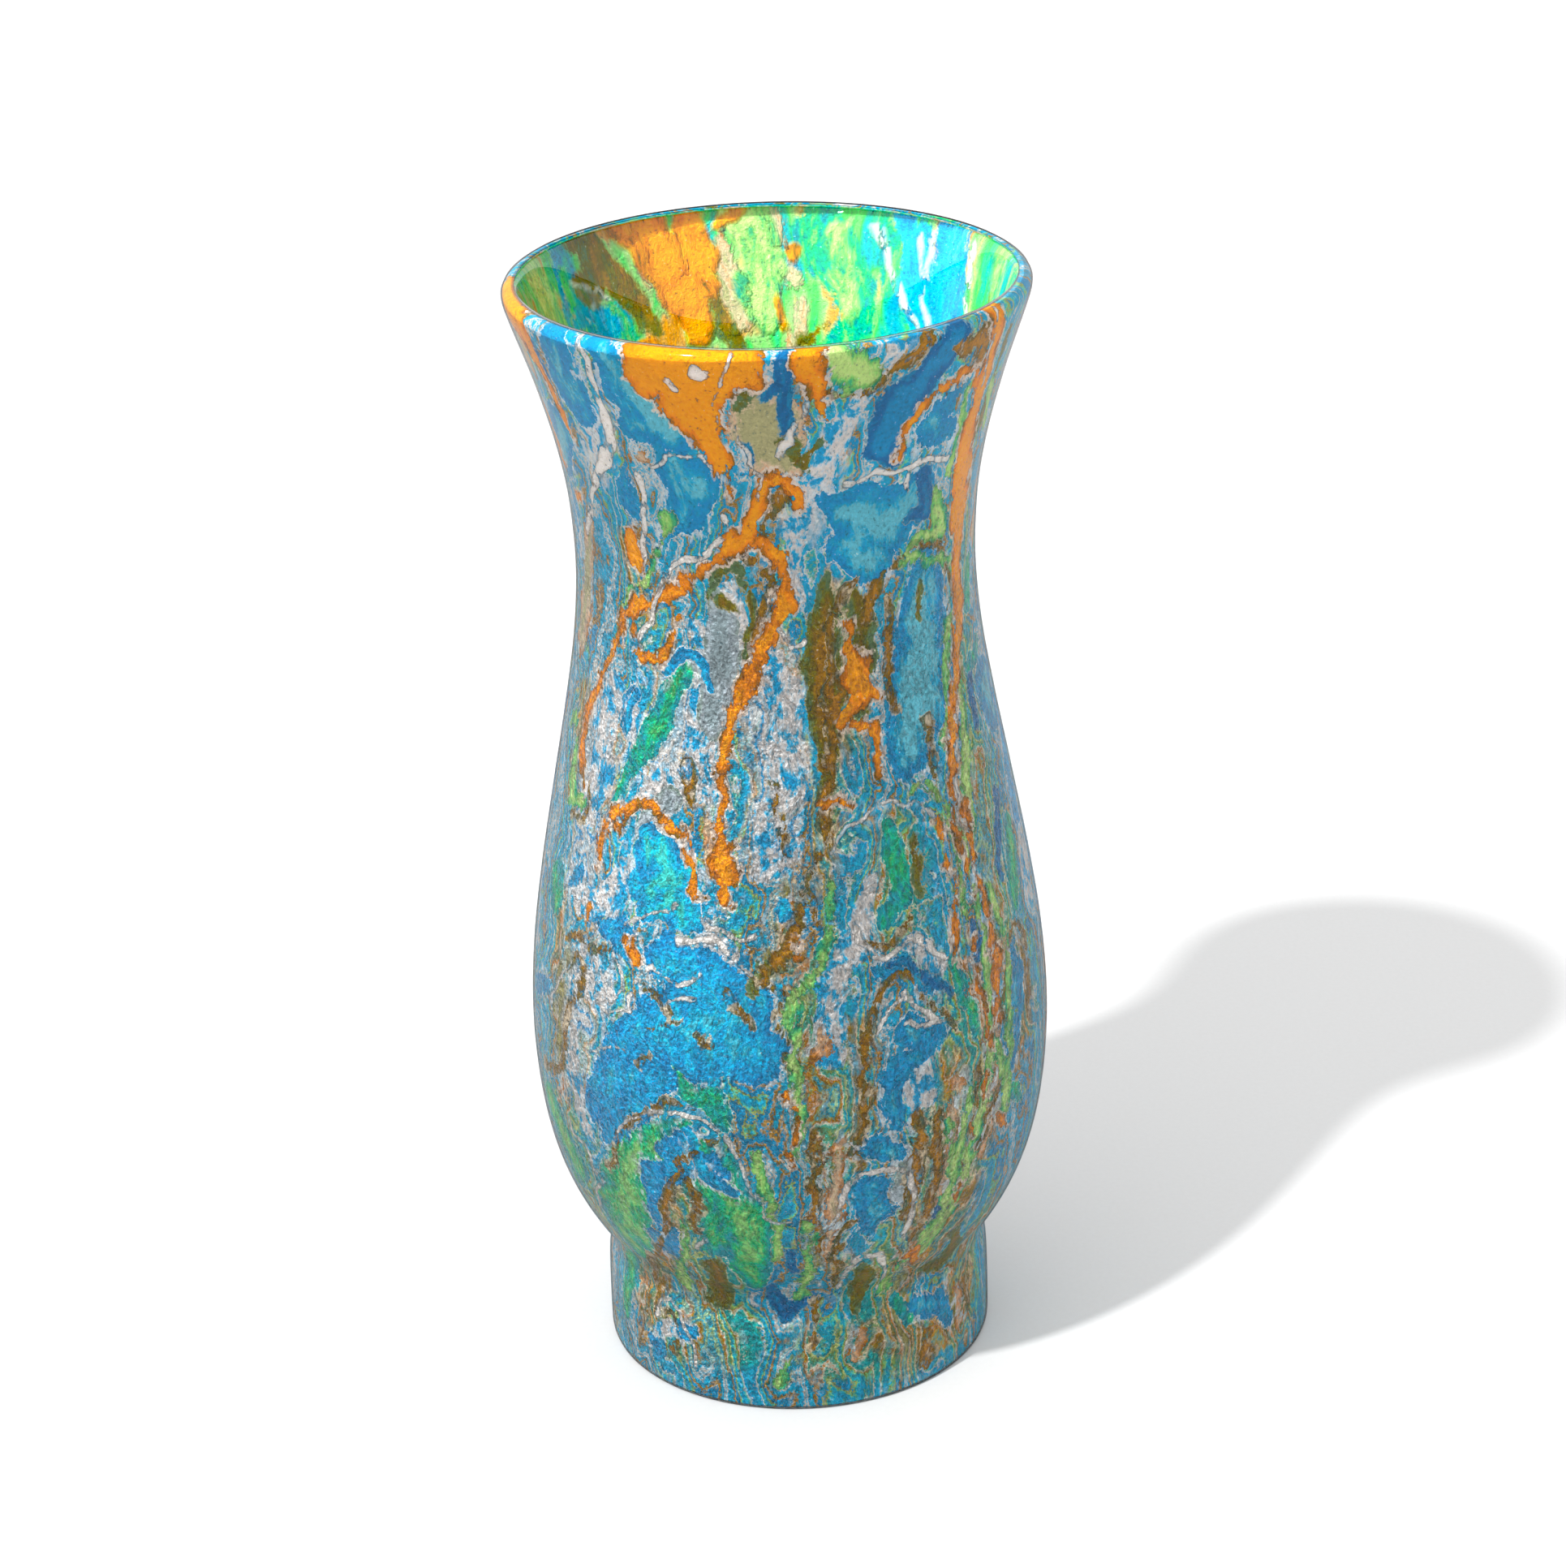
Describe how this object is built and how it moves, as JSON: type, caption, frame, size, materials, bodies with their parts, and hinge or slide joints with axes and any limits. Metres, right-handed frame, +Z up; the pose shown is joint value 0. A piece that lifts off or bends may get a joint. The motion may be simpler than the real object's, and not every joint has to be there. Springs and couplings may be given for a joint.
{
  "type": "art glass vase",
  "caption": "Footed, waisted glass vase with a flared mouth, coloured by marbled paint poured over the outside of the glass; holds flowers or stands as decoration.",
  "frame": {"origin": "centre of the underside, on the surface that the vase stands on", "axes": "+Z up along the vase's own axis; -Y is the side whose marbling faces the viewer"},
  "size_m": [0.106, 0.106, 0.2299],
  "materials": {
    "clear_glass": "fire-polished gloss",
    "marbled_paint": "poured acrylic, marbled blue, orange, green and white",
    "gloss_seal": "clear gloss"
  },
  "bodies": {
    "root": {"glass_vessel": "clear_glass", "marbled_paint_film": "marbled_paint", "clear_gloss_coat": "gloss_seal"}
  },
  "joints": []
}
